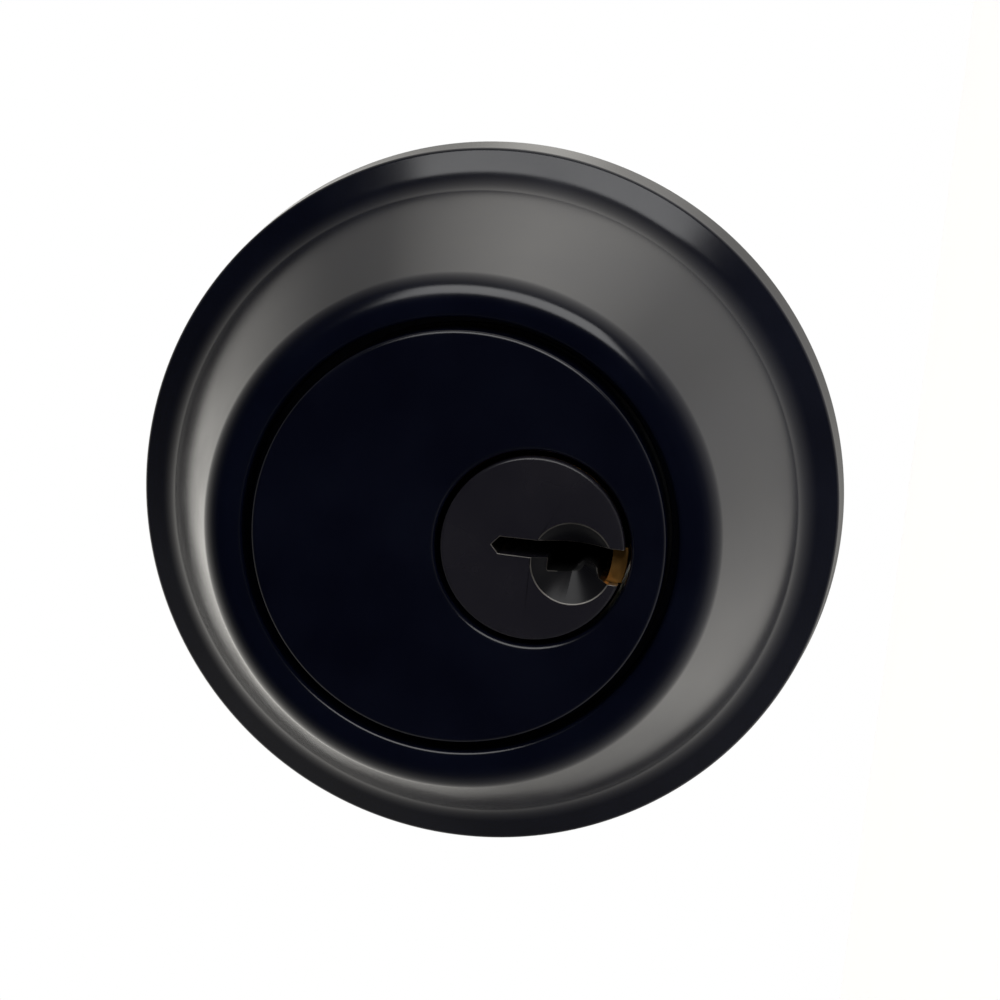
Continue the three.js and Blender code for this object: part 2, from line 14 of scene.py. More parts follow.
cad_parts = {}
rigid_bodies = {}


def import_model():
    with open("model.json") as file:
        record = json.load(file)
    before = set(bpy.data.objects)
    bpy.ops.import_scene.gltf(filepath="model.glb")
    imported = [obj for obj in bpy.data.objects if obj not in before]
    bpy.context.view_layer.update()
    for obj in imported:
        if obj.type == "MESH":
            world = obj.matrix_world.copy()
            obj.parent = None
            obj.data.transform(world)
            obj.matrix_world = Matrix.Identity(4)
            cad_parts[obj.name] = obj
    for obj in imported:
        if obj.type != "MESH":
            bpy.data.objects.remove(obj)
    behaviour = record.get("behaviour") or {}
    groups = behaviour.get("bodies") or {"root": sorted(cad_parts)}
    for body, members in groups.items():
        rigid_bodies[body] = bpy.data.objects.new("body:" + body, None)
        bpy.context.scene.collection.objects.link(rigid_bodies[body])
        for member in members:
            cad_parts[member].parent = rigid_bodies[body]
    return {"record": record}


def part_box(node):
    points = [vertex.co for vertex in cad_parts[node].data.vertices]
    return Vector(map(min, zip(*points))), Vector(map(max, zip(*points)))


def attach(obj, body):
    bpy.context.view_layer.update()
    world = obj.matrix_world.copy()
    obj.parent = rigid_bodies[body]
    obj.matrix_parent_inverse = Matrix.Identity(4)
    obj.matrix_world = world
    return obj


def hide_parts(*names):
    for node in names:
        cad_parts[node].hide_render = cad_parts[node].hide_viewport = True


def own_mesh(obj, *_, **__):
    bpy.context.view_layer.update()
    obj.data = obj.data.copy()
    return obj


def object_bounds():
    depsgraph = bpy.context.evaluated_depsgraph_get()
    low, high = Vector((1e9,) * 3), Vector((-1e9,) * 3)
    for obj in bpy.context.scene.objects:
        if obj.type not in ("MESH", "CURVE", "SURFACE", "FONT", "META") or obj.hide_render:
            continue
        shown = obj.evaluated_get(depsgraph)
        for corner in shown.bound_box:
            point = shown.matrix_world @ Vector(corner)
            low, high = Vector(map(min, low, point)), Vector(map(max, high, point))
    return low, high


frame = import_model()
cad_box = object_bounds()

MM = 0.001
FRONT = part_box("cylinder_housing")[0].y  # the disc's front face, where depth is 0


def ends(node, axis):
    """Lowest and highest place of a CAD node along x, y or z, in millimetres, with y given as a depth."""
    low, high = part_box(node)
    shift = FRONT if axis == "y" else 0
    return (getattr(low, axis) - shift) / MM, (getattr(high, axis) - shift) / MM


# Sizes that the frame gives, in millimetres
DOOR = -FRONT / MM
COLLAR_RADIUS = ends("guard_collar", "x")[1]
LIP_DEPTH = ends("guard_collar", "y")[0]
RING_RADIUS = ends("guard_ring", "x")[1]
RING_FRONT, RING_BACK = ends("guard_ring", "y")
COVER_FRONT, COVER_BACK = ends("chamber_cover", "y")
COVER_LOW = ends("chamber_cover", "z")[0]
DISC_RADIUS = -ends("cylinder_housing", "z")[0]
HOUSING_BACK = ends("cylinder_housing", "y")[1]
SNAP_FRONT, SNAP_BACK = ends("collar_snap_ring", "y")
PLUG_HEAD_RADIUS = ends("key_plug", "x")[1]
PLUG_FACE, BOSS_BACK = ends("key_plug", "y")
PLUG_Z = ends("key_plug", "z")[1] - PLUG_HEAD_RADIUS
SHELL_RADIUS = ends("cylinder_shell", "x")[1]
SHELL_FRONT, SHELL_BACK = ends("cylinder_shell", "y")
TOWER_TOP = ends("cylinder_shell", "z")[1]
CLIP_FRONT, CLIP_BACK = ends("plug_clip", "y")
POST_X = sum(ends("mounting_post_right", "x")) / 2
POST_RADIUS = ends("mounting_post_right", "z")[1]
POST_BACK = ends("mounting_post_right", "y")[1]
SCREW_X = sum(ends("retainer_screw_right", "x")) / 2
SCREW_Z = sum(ends("retainer_screw_right", "z")) / 2
DRILL_X = sum(ends("drill_pin_right", "x")) / 2
DRILL_DEPTH = sum(ends("drill_pin_right", "y")) / 2
PIN_NUMBERS = range(1, 6)
PIN_DEPTHS = [sum(ends("key_pin_%d" % number, "y")) / 2 for number in PIN_NUMBERS]
PIN_RADIUS = ends("key_pin_1", "x")[1]

# Sizes that the frame's boxes don't show
RIM_RADIUS = 30.65
RIM_EDGE = 0.5
LIP_EDGE = 0.45
RECESS_RADIUS = 17.9
RECESS_FLOOR = 4.6
COLLAR_WALL_BACK = 7.8
COLLAR_HOLLOW_RADIUS = 27.2
COLLAR_THROAT_RADIUS = 21.6
BARREL_RADIUS = 15
SNAP_GROOVE_RADIUS = 14
DISC_BACK = 3.8
DISC_WEB = 2.2
DISC_EDGE = 0.45
EAR_FRONT, EAR_BACK = 20.2, 27
EAR_RADIUS = 5.2
POST_HOLE, SCREW_HOLE, DRILL_HOLE = 2.8, 1.6, 1.3  # radii in the housing
PLUG_RADIUS = 6.35
PLUG_HOLE_RADIUS = 8
HEAD_BACK = 0.9
CLIP_GROOVE_RADIUS = 5.5
PLUG_SHOULDER = 33
BOSS_RADIUS = 4.9
BORE_CLEARANCE = 0.12
TOWER_HALF_WIDTH = 3.4
TOWER_FOOT = 4.35  # height of the tower's chambers over the plug's axis
CHAMBER_FLOOR = -1.6
CHAMBER_RADIUS = PIN_RADIUS + 0.1
GAP = 0.3
KEYWAY_END = 26.5
GUIDE_DEPTH = 1.9
SWING_ANGLE = 40  # degrees each way
SPOOL_PINS = (2, 4)
SPRING_KEEP = 0.42  # length left of a spring when its driver pin is up
PLUG_CENTRE = (0, 0, PLUG_Z * MM)

# Where the shell's nose is left bare brass: inside the radius, behind the depth, or at the keyway's mouth;
# elsewhere on the nose it takes painted shade in near black
NOSE_SHADE_RADIUS = 7.45
NOSE_SHADE_DEPTH = 4
MOUTH_X = -0.62
MOUTH_HALF_WIDTH = 1.45

# The camera, as the photograph was taken
LENS = 100.8
CAMERA_AZIMUTH = 10.41
CAMERA_ELEVATION = -6.09
CAMERA_ROLL = -82.71
CAMERA_DISTANCE = 0.2255
AIM = (0.00363, FRONT, -0.00319)

# The room's light, as (value, brightness) stops: across it from -X to +X, and along it from -Y to +Y
SIDE_LEVELS = (
    (-1, 0.42), (-0.75, 1.0), (-0.5, 1.1), (0, 0.95), (0.35, 1.0), (0.6, 0.92), (0.8, 1.02), (1, 1.75)
)
BACK_LEVELS = (
    (-0.85, 0), (-0.5, 0.1), (-0.15, 0.42), (0.3, 0.76), (0.65, 1.02), (0.82, 0.95), (0.98, 0.25)
)
UPPER_DROP = 0.3  # how far the light along Y sits further back on the upper side
CORNER_SHADE = 1.1  # how much darker it is towards +X and +Z at once
LEAST_SIDE = 0.1
FRONT_GLOW = 0.01
ROOM_TINT = (1, 0.975, 0.92, 1)

ROUND_SIDES = 256
SMALL_SIDES = 96
PIN_SIDES = 48
SHARP_ANGLE = math.radians(32)


# ---------------------------------------------------------------- outlines


def arc(centre, radius, start, end, steps=12):
    """Points on an arc, in degrees; 0 is along the first axis and 90 along the second."""
    points = []
    for i in range(steps + 1):
        angle = math.radians(start + (end - start) * i / steps)
        points.append((centre[0] + radius * math.cos(angle), centre[1] + radius * math.sin(angle)))
    return points


def bezier(start, control, end, steps=14):
    """Points on a quadratic curve, both ends included."""
    points = []
    for i in range(steps + 1):
        t = i / steps
        weights = ((1 - t) ** 2, 2 * t * (1 - t), t * t)
        points.append(tuple(sum(w * p[k] for w, p in zip(weights, (start, control, end))) for k in (0, 1)))
    return points


def rounded(corners, steps=5):
    """A closed outline whose corners (a, b, radius) are turned into arcs of about that radius."""
    points = []
    for i, (a, b, radius) in enumerate(corners):
        here = Vector((a, b))
        before = Vector(corners[i - 1][:2]) - here
        after = Vector(corners[(i + 1) % len(corners)][:2]) - here
        if not radius:
            points.append((a, b))
            continue
        reach = min(radius / math.tan(before.angle(after) / 2), 0.48 * before.length, 0.48 * after.length)
        start = here + before.normalized() * reach
        end = here + after.normalized() * reach
        points += bezier(tuple(start), (a, b), tuple(end), steps)
    return points


def circle(radius, sides, x=0, z=0):
    """Points of a whole circle about (x, z)."""
    return [
        (x + radius * math.cos(math.tau * i / sides), z + radius * math.sin(math.tau * i / sides))
        for i in range(sides)
    ]


# ------------------------------------------------------------------ solids


def made(name, vertices, faces):
    """A mesh object from vertices (x, depth, z) in millimetres, its faces turned outwards."""
    mesh = bpy.data.meshes.new(name)
    mesh.from_pydata([(x * MM, y * MM + FRONT, z * MM) for x, y, z in vertices], [], faces)
    build = bmesh.new()
    build.from_mesh(mesh)
    bmesh.ops.remove_doubles(build, verts=build.verts, dist=1e-7)
    bmesh.ops.recalc_face_normals(build, faces=build.faces)
    build.to_mesh(mesh)
    build.free()
    piece = bpy.data.objects.new(name, mesh)
    bpy.context.scene.collection.objects.link(piece)
    return piece


def lathe(name, outline, sides, place):
    """A closed outline of (radius, along) points, turned; place(a, b, along) says where a point goes."""
    vertices, rings = [], []
    for radius, along in outline:
        if radius < 1e-6:
            rings.append([len(vertices)] * sides)
            vertices.append(place(0, 0, along))
            continue
        rings.append(range(len(vertices), len(vertices) + sides))
        vertices += [place(a, b, along) for a, b in circle(radius, sides)]
    faces = []
    for i, ring in enumerate(rings):
        after = rings[(i + 1) % len(rings)]
        for k in range(sides):
            corners = [ring[k], ring[(k + 1) % sides], after[(k + 1) % sides], after[k]]
            face = list(dict.fromkeys(corners))
            if len(face) > 2:
                faces.append(face)
    return made(name, vertices, faces)


def turned(name, outline, sides=ROUND_SIDES, x=0, z=0):
    """Turned about a line along Y."""
    return lathe(name, outline, sides, lambda a, b, depth: (x + a, depth, z + b))


def stood(name, outline, x, depth, sides=PIN_SIDES):
    """Turned about a line along Z."""
    return lathe(name, outline, sides, lambda a, b, height: (x + a, depth + b, height))


def extruded(name, outline, low, high, place):
    """A closed outline of (a, b) points carried from low to high; place says where (a, b, along) goes."""
    count = len(outline)
    vertices = [place(a, b, along) for along in (low, high) for a, b in outline]
    sides = [[i, (i + 1) % count, (i + 1) % count + count, i + count] for i in range(count)]
    return made(name, vertices, [list(range(count)), list(range(count, 2 * count)), *sides])


def prism(name, outline, front, back, z=0):
    """An outline of (x, z) points, extruded along Y."""
    return extruded(name, outline, front, back, lambda a, b, depth: (a, depth, b + z))


def rod(radius, front, back, x=0, z=0, sides=SMALL_SIDES):
    """A plain cylinder along Y."""
    return prism("rod", circle(radius, sides, x, z), front, back)


def upright(radius, low, high, x, depth):
    """A plain cylinder along Z."""
    return stood("upright", [(0, low), (radius, low), (radius, high), (0, high)], x, depth)


def block(low, high):
    """A box between two corners (x, depth, z)."""
    (x0, y0, z0), (x1, y1, z1) = low, high
    return prism("block", [(x0, z0), (x1, z0), (x1, z1), (x0, z1)], y0, y1)


def open_ring(name, inner, outer, gap, front, back, z=0):
    """The flat C of a retaining ring, open at the bottom over an angle in degrees."""
    start, end = gap / 2 - 90, 270 - gap / 2
    outline = arc((0, 0), outer, start, end, 120) + arc((0, 0), inner, end, start, 120)
    return prism(name, outline, front, back, z)


def coil(name, radius, wire, turns, low, high, x, depth):
    """A helical spring of round wire about a line along Z, its two end turns lying nearly flat."""
    steps, around = 32 * turns, 12
    vertices = []
    for i in range(steps + 1):
        t = i / steps
        angle = math.tau * turns * t
        height = low + (high - low) * (t - math.sin(math.tau * t) / (1.6 * math.tau))
        for k in range(around):
            turn = math.tau * k / around
            reach = radius + wire * math.cos(turn)
            vertices.append(
                (x + reach * math.cos(angle), depth + reach * math.sin(angle), height + wire * math.sin(turn))
            )
    faces = [list(range(around)), list(range(steps * around, (steps + 1) * around))]
    for i in range(steps):
        for k in range(around):
            here, beside = i * around + k, i * around + (k + 1) % around
            faces.append([here, beside, beside + around, here + around])
    return made(name, vertices, faces)


def apply_modifiers(piece):
    """Puts the mesh that the piece's modifiers give in place of its own."""
    graph = bpy.context.evaluated_depsgraph_get()
    mesh = bpy.data.meshes.new_from_object(piece.evaluated_get(graph))
    piece.modifiers.clear()
    piece.data = mesh
    return piece


def combine(piece, others, operation):
    """Cuts the other solids from the piece, or joins them to it, and removes them."""
    for other in others:
        modifier = piece.modifiers.new("boolean", "BOOLEAN")
        modifier.operation = operation
        modifier.solver = "EXACT"
        modifier.object = other
        apply_modifiers(piece)
        bpy.data.objects.remove(other)
    return piece


def cut(piece, *others):
    """Takes the other solids out of the piece."""
    return combine(piece, others, "DIFFERENCE")


def join(piece, *others):
    """Makes one solid of the piece and the others."""
    return combine(piece, others, "UNION")


def bevelled(piece, width, segments=2, finish=-1, clamp=True):
    """Breaks the piece's sharp edges by some millimetres; finish is the material slot that they take."""
    modifier = piece.modifiers.new("bevel", "BEVEL")
    modifier.width = width * MM
    modifier.segments = segments
    modifier.limit_method = "ANGLE"
    modifier.angle_limit = SHARP_ANGLE
    modifier.use_clamp_overlap = clamp
    modifier.material = finish
    return apply_modifiers(piece)


def finished(piece, *materials):
    """Gives the piece its material slots, for faces that are painted after that."""
    for material in materials:
        piece.data.materials.append(material)
    return piece


def paint(piece, slot, test):
    """Puts a material slot on the faces that test(x, depth, z, normal) picks, by their middles."""
    for polygon in piece.data.polygons:
        x, y, z = polygon.center
        if test(x / MM, (y - FRONT) / MM, z / MM, polygon.normal):
            polygon.material_index = slot


def shaded(piece):
    """Smooth shading with its sharp edges kept, and flat faces that stay flat."""
    for polygon in piece.data.polygons:
        polygon.use_smooth = True
    piece.data.set_sharp_from_angle(angle=SHARP_ANGLE)
    modifier = piece.modifiers.new("weighted", "WEIGHTED_NORMAL")
    modifier.keep_sharp = True
    return piece


BODIES = {node: body for body, nodes in frame["record"]["behaviour"]["bodies"].items() for node in nodes}
BLACK_SLOTS = {"guard_collar": "collar_black", "cylinder_housing": "disc_black", "key_plug": "plug_black"}
PIN_SLOTS = (("key_pin", "pin_brass"), ("driver_pin", "pin_nickel"), ("pin_spring", "spring_steel"))
SLOTS = {
    "cylinder_shell": "brass",
    "chamber_cover": "brass",
    "tailpiece_cap": "brass",
    "guard_ring": "hardened_steel",
    "drill_pin_left": "hardened_steel",
    "drill_pin_right": "hardened_steel",
    "collar_wave_spring": "hardened_steel",
    "collar_snap_ring": "spring_steel",
    "plug_clip": "spring_steel",
    **BLACK_SLOTS,
}


def slot_of(node):
    """The record's material slot of a CAD node."""
    for start, slot in PIN_SLOTS:
        if node.startswith(start):
            return slot
    return SLOTS.get(node, "zinc_plate")


def settled(piece, name, node):
    """Names and shades a finished piece and puts it in the place of its CAD node."""
    piece.name = name
    piece.data.name = name
    shaded(piece)
    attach(piece, BODIES[node])
    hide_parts(node)
    slot_of(node)
    return piece


# --------------------------------------------------------------- materials


def calculated(tree, operation, *values):
    """The output of a maths node in a node tree."""
    node = tree.nodes.new("ShaderNodeMath")
    node.operation = operation
    for socket, value in zip(node.inputs, values):
        if isinstance(value, bpy.types.NodeSocket):
            tree.links.new(value, socket)
        else:
            socket.default_value = value
    return node.outputs[0]


def ramp(tree, value, stops):
    """A colour ramp of (place, colour) stops in a node tree."""
    node = tree.nodes.new("ShaderNodeValToRGB")
    tree.links.new(value, node.inputs["Fac"])
    elements = node.color_ramp.elements
    while len(elements) < len(stops):
        elements.new(0.5)
    for element, (where, colour) in zip(elements, stops):
        element.position = where
        element.color = (*colour, 1)
    return node.outputs["Color"]


class Nodes:
    """A material's node tree, with short calls for its nodes."""

    def __init__(self, name):
        self.material = bpy.data.materials.new(name)
        self.material.use_nodes = True
        self.tree = self.material.node_tree
        self.shader = self.tree.nodes["Principled BSDF"]
        self.place = self.tree.nodes.new("ShaderNodeTexCoord").outputs["Object"]

    def node(self, kind, settings=(), **inputs):
        """A new node with its settings, and with a value or a link on each input that is named."""
        made_node = self.tree.nodes.new(kind)
        for key, value in dict(settings).items():
            setattr(made_node, key, value)
        for key, value in inputs.items():
            socket = made_node.inputs[key.replace("_", " ")]
            if isinstance(value, bpy.types.NodeSocket):
                self.tree.links.new(value, socket)
            else:
                socket.default_value = value
        return made_node

    def maths(self, operation, *values):
        """The output of a maths node."""
        return calculated(self.tree, operation, *values)

    def noise(self, size, detail=2.0, stretch=(1, 1, 1)):
        """Noise whose features are about that many millimetres across."""
        mapping = self.node("ShaderNodeMapping", Vector=self.place, Scale=stretch)
        return self.node(
            "ShaderNodeTexNoise", Vector=mapping.outputs["Vector"], Scale=1 / (size * MM), Detail=detail
        ).outputs["Fac"]

    def spread(self, value, low, high, start=0.3, end=0.7):
        """Maps a value from start..end to low..high."""
        ranged = self.tree.nodes.new("ShaderNodeMapRange")
        self.tree.links.new(value, ranged.inputs["Value"])
        for key, number in (("From Min", start), ("From Max", end), ("To Min", low), ("To Max", high)):
            ranged.inputs[key].default_value = number
        return ranged.outputs["Result"]

    def colours(self, value, *stops):
        """A colour ramp of (place, colour) stops."""
        return ramp(self.tree, value, stops)

    def rings(self, pitch, centre):
        """Fine concentric turning marks about a line along Y, as a height."""
        mapping = self.node("ShaderNodeMapping", Vector=self.place, Location=tuple(-c for c in centre))
        wave = self.node(
            "ShaderNodeTexWave",
            {"wave_type": "RINGS", "rings_direction": "Y"},
            Vector=mapping.outputs["Vector"],
            Scale=1 / (pitch * MM * 20),
            Distortion=0.6,
            Detail=2.0,
        )
        return wave.outputs["Fac"]

    def bump(self, height, strength, distance):
        """Adds a bump of that many millimetres to the surface, after any bump that is there."""
        bump = self.node("ShaderNodeBump", Height=height, Strength=strength, Distance=distance * MM)
        if self.shader.inputs["Normal"].links:
            self.tree.links.new(self.shader.inputs["Normal"].links[0].from_socket, bump.inputs["Normal"])
        self.link(bump.outputs["Normal"], "Normal")

    def link(self, value, key):
        """Leads an output to an input of the shader."""
        self.tree.links.new(value, self.shader.inputs[key])

    def set(self, **values):
        """Plain values on inputs of the shader."""
        for key, value in values.items():
            self.shader.inputs[key.replace("_", " ")].default_value = value


def coat(name, dark, light, roughness, grain=0.25, ior=1.5):
    """A black coat: faint cloudiness in colour and gloss over a very fine grain."""
    n = Nodes(name)
    cloud = n.noise(7, 3.0)
    fine = n.noise(grain, 2.0)
    n.link(n.colours(cloud, (0.3, dark), (0.7, light)), "Base Color")
    n.link(n.spread(cloud, roughness - 0.03, roughness + 0.03), "Roughness")
    n.bump(fine, strength=0.12, distance=0.004)
    n.set(IOR=ior)
    return n.material


def machined(name, dark, light, roughness, pitch=0.12, centre=(0, 0, 0)):
    """Turned metal: patchy colour, uneven gloss and concentric tool marks."""
    n = Nodes(name)
    cloud = n.noise(3.5, 4.0)
    fine = n.noise(0.4, 3.0)
    marks = n.rings(pitch, centre)
    n.link(n.colours(cloud, (0.28, dark), (0.72, light)), "Base Color")
    n.link(n.spread(fine, roughness - 0.07, roughness + 0.1), "Roughness")
    n.bump(marks, strength=0.25, distance=0.004)
    n.bump(fine, strength=0.15, distance=0.004)
    n.set(Metallic=1.0)
    return n.material


def plated(name, dark, light, roughness):
    """Bright plating over stamped or drawn steel, with long faint scratches."""
    n = Nodes(name)
    cloud = n.noise(5, 4.0)
    scratches = n.noise(0.5, 3.0, (1, 0.08, 1))
    n.link(n.colours(cloud, (0.3, dark), (0.7, light)), "Base Color")
    n.link(n.spread(scratches, roughness - 0.06, roughness + 0.1), "Roughness")
    n.bump(scratches, strength=0.15, distance=0.005)
    n.set(Metallic=1.0)
    return n.material


def shell_brass_and_nose_shade():
    """Turned brass, with painted shade in near black on its nose outside the plug's head, where the groove
    round the plug lies in shadow.
    """
    n = Nodes("shell_brass_and_nose_shade")
    cloud = n.noise(3.5, 4.0)
    fine = n.noise(0.4, 3.0)
    offset = n.node("ShaderNodeVectorMath", {"operation": "SUBTRACT"})
    n.tree.links.new(n.place, offset.inputs[0])
    offset.inputs[1].default_value = PLUG_CENTRE
    flat = n.node("ShaderNodeVectorMath", {"operation": "MULTIPLY"})
    n.tree.links.new(offset.outputs[0], flat.inputs[0])
    flat.inputs[1].default_value = (1, 0, 1)
    length = n.node("ShaderNodeVectorMath", {"operation": "LENGTH"})
    n.tree.links.new(flat.outputs[0], length.inputs[0])
    outside = n.spread(length.outputs["Value"], 0, 1, (NOSE_SHADE_RADIUS - 0.02) * MM, NOSE_SHADE_RADIUS * MM)
    parts = n.node("ShaderNodeSeparateXYZ", Vector=n.place)
    nose_back = FRONT + NOSE_SHADE_DEPTH * MM
    front = n.spread(parts.outputs["Y"], 1, 0, nose_back, nose_back + 0.1 * MM)
    across = n.maths("ABSOLUTE", n.maths("ADD", parts.outputs["X"], -MOUTH_X * MM))
    beside = n.spread(across, 0, 1, MOUTH_HALF_WIDTH * MM, (MOUTH_HALF_WIDTH + 0.05) * MM)
    above = n.spread(parts.outputs["Z"], 0, 1, (PLUG_Z - 0.1) * MM, PLUG_Z * MM)
    # Painted shade: the mask of the nose's near black outside the plug's head, kept off the keyway's mouth
    dark = n.maths("MULTIPLY", n.maths("MULTIPLY", outside, front), n.maths("MAXIMUM", beside, above))
    shown = n.node("ShaderNodeMix", {"data_type": "RGBA"})
    n.tree.links.new(dark, shown.inputs["Factor"])
    bare = n.colours(cloud, (0.28, (0.62, 0.3, 0.07)), (0.72, (0.8, 0.46, 0.15)))
    colours = [socket for socket in shown.inputs if socket.type == "RGBA"]
    n.tree.links.new(bare, colours[0])
    # The near-black colour of the painted shade on the nose
    colours[1].default_value = (0.002, 0.002, 0.0025, 1)
    n.link(next(socket for socket in shown.outputs if socket.type == "RGBA"), "Base Color")
    n.link(n.spread(fine, 0.38, 0.5), "Roughness")
    n.bump(n.rings(0.12, PLUG_CENTRE), strength=0.25, distance=0.004)
    n.set(Metallic=1.0)
    return n.material


COLLAR_BLACK = coat("collar_black_coat", (0.0008, 0.0014, 0.0062), (0.0016, 0.0026, 0.009), 0.2)
DISC_BLACK = coat("disc_black_coat", (0.0008, 0.0012, 0.0055), (0.0018, 0.0026, 0.0085), 0.22)
PLUG_BLACK = coat("plug_black_coat", (0.0095, 0.009, 0.0135), (0.0135, 0.0125, 0.0175), 0.26, grain=0.18)
GUIDE_BLACK = coat("black_in_guide", (0.0035, 0.0035, 0.005), (0.006, 0.006, 0.0075), 0.3, ior=1.3)
# Painted shade: a near-black coat laid on the plug's keyway walls and pin chambers, where they lie in shadow
KEYWAY_PAINTED_SHADE = coat("painted_shade_in_keyway", (0.0008, 0.0008, 0.001), (0.0014, 0.0014, 0.0018), 0.6)
WORN_EDGE = plated("worn_edge", (0.22, 0.21, 0.2), (0.6, 0.57, 0.53), 0.5)
BRASS = machined("brass_turned", (0.55, 0.30, 0.10), (0.72, 0.44, 0.17), 0.3, centre=PLUG_CENTRE)
PIN_BRASS = machined("brass_pins", (0.62, 0.38, 0.15), (0.78, 0.52, 0.24), 0.26, 0.08, PLUG_CENTRE)
PIN_NICKEL = machined("nickel_pins", (0.42, 0.41, 0.38), (0.62, 0.6, 0.56), 0.24, 0.08, PLUG_CENTRE)
SHELL_BRASS_AND_NOSE_SHADE = shell_brass_and_nose_shade()
SPRING_STEEL = plated("spring_steel", (0.28, 0.28, 0.30), (0.45, 0.45, 0.47), 0.3)
HARD_STEEL = plated("hardened_steel", (0.05, 0.052, 0.06), (0.11, 0.11, 0.12), 0.38)
ZINC = plated("zinc_plate", (0.46, 0.47, 0.48), (0.66, 0.66, 0.64), 0.3)


# ------------------------------------------------------------------ pieces


def guard_collar():
    """Lip, round shoulder, steep flank, hollow foot and sloping rim outside, and a stepped hollow inside."""
    outside = [
        *arc((RECESS_RADIUS + LIP_EDGE, LIP_DEPTH + LIP_EDGE), LIP_EDGE, 180, 270, 8),
        *arc((19.05, LIP_DEPTH + 2.6), 2.6, -90, -22.2, 24),
        *bezier((27.1, 16.25), (27.59, 17.44), (28.9, 18.11), 20),
        *arc((RIM_RADIUS - RIM_EDGE, 19.35), RIM_EDGE, -62.7, 0, 10),
    ]
    inside = rounded(
        [
            (COLLAR_RADIUS, DOOR - 0.3, 0.05),
            (COLLAR_RADIUS - 0.3, DOOR, 0.05),
            (COLLAR_HOLLOW_RADIUS, DOOR, 0.3),
            (COLLAR_HOLLOW_RADIUS, 20.8, 0.5),
            (24, 16.4, 1),
            (COLLAR_THROAT_RADIUS, 12.4, 1),
            (COLLAR_THROAT_RADIUS, COLLAR_WALL_BACK, 0.4),
            (BARREL_RADIUS + 0.4, COLLAR_WALL_BACK, 0.2),
            (BARREL_RADIUS + 0.4, RECESS_FLOOR, 0.2),
            (RECESS_RADIUS, RECESS_FLOOR, 0.1),
            (RECESS_RADIUS, LIP_DEPTH + LIP_EDGE, 0),
        ]
    )
    return finished(turned("collar", outside + inside), COLLAR_BLACK)


def keyhole(radius, half_width, top):
    """A circle with a square-topped tower, about the plug's axis."""
    corner = math.degrees(math.acos(half_width / radius))
    return [
        (half_width, top),
        (-half_width, top),
        *arc((0, 0), radius, 180 - corner, 360 + corner, 128),
    ]


def cylinder_housing():
    """A thick disc on a barrel with two ears, bored for the shell, the screws and the drill pins."""
    outline = rounded(
        [
            (0, 0, 0),
            (DISC_RADIUS, 0, DISC_EDGE),
            (DISC_RADIUS, DISC_BACK, 0.15),
            (BARREL_RADIUS, DISC_BACK, 0.1),
            (BARREL_RADIUS, SNAP_FRONT - 0.2, 0),
            (SNAP_GROOVE_RADIUS, SNAP_FRONT - 0.2, 0),
            (SNAP_GROOVE_RADIUS, SNAP_BACK + 0.2, 0),
            (BARREL_RADIUS, SNAP_BACK + 0.2, 0),
            (BARREL_RADIUS, HOUSING_BACK, 0.5),
            (0, HOUSING_BACK, 0),
        ],
        8,
    )
    body = turned("housing", outline)
    ears = arc((POST_X, 0), EAR_RADIUS, -90, 90, 40) + arc((-POST_X, 0), EAR_RADIUS, 90, 270, 40)
    join(body, prism("ears", ears, EAR_FRONT, EAR_BACK))
    pocket = keyhole(SHELL_RADIUS + GAP, TOWER_HALF_WIDTH + GAP, TOWER_TOP - PLUG_Z + 0.4)
    mouth = PLUG_HOLE_RADIUS + DISC_EDGE
    hole = [
        (0, -1),
        (mouth, -1),
        *arc((mouth, DISC_EDGE), DISC_EDGE, -90, -180, 8),
        (PLUG_HOLE_RADIUS, DISC_WEB + 0.5),
        (0, DISC_WEB + 0.5),
    ]
    cut(
        body,
        prism("pocket", pocket, DISC_WEB, HOUSING_BACK + 1, PLUG_Z),
        turned("front_hole", hole, z=PLUG_Z),
    )
    for side in (-1, 1):
        cut(
            body,
            rod(POST_HOLE, EAR_BACK - 5, EAR_BACK + 1, side * POST_X),
            rod(SCREW_HOLE, HOUSING_BACK - 6.5, HOUSING_BACK + 1, side * SCREW_X, SCREW_Z),
            upright(DRILL_HOLE, 1.5, 16.2, side * DRILL_X, DRILL_DEPTH),
        )
    return finished(bevelled(body, 0.08), DISC_BLACK)


def keyway():
    """Section of the keyway about the plug's axis, roof to open bottom."""
    return [
        (-0.04, 3.32),
        (-0.7, 2.7),
        (-0.7, -1.2),
        *arc((-0.8, -1.2), 0.1, 0, -90, 3)[1:],
        (-1.65, -1.3),
        (-1.75, -1.4),
        (-1.8, -2.9),
        *bezier((-1.74, -3.2), (-1.6, -3.55), (-1.1, -3.68), 5),
        *arc((-1.5, -4.55), 0.85, 58, -48, 12),
        *bezier((-0.98, -5.3), (-1.5, -5.45), (-1.8, -5.6), 4),
        (-2.1, -6.4),
        (-2.1, -9),
        (0.85, -9),
        (0.8, -4),
        (0.7, 2.7),
    ]


def swing_sectors():
    """Two opposed sectors, with flat sides, in which the tailpiece's head swings."""
    half_angle = math.radians(SWING_ANGLE)
    waist = 1.3 / math.cos(half_angle)
    reach = BOSS_RADIUS + 1
    spread = waist + reach * math.tan(half_angle)
    return [(waist, 0), (spread, reach), (-spread, reach), (-waist, 0), (-spread, -reach), (spread, -reach)]


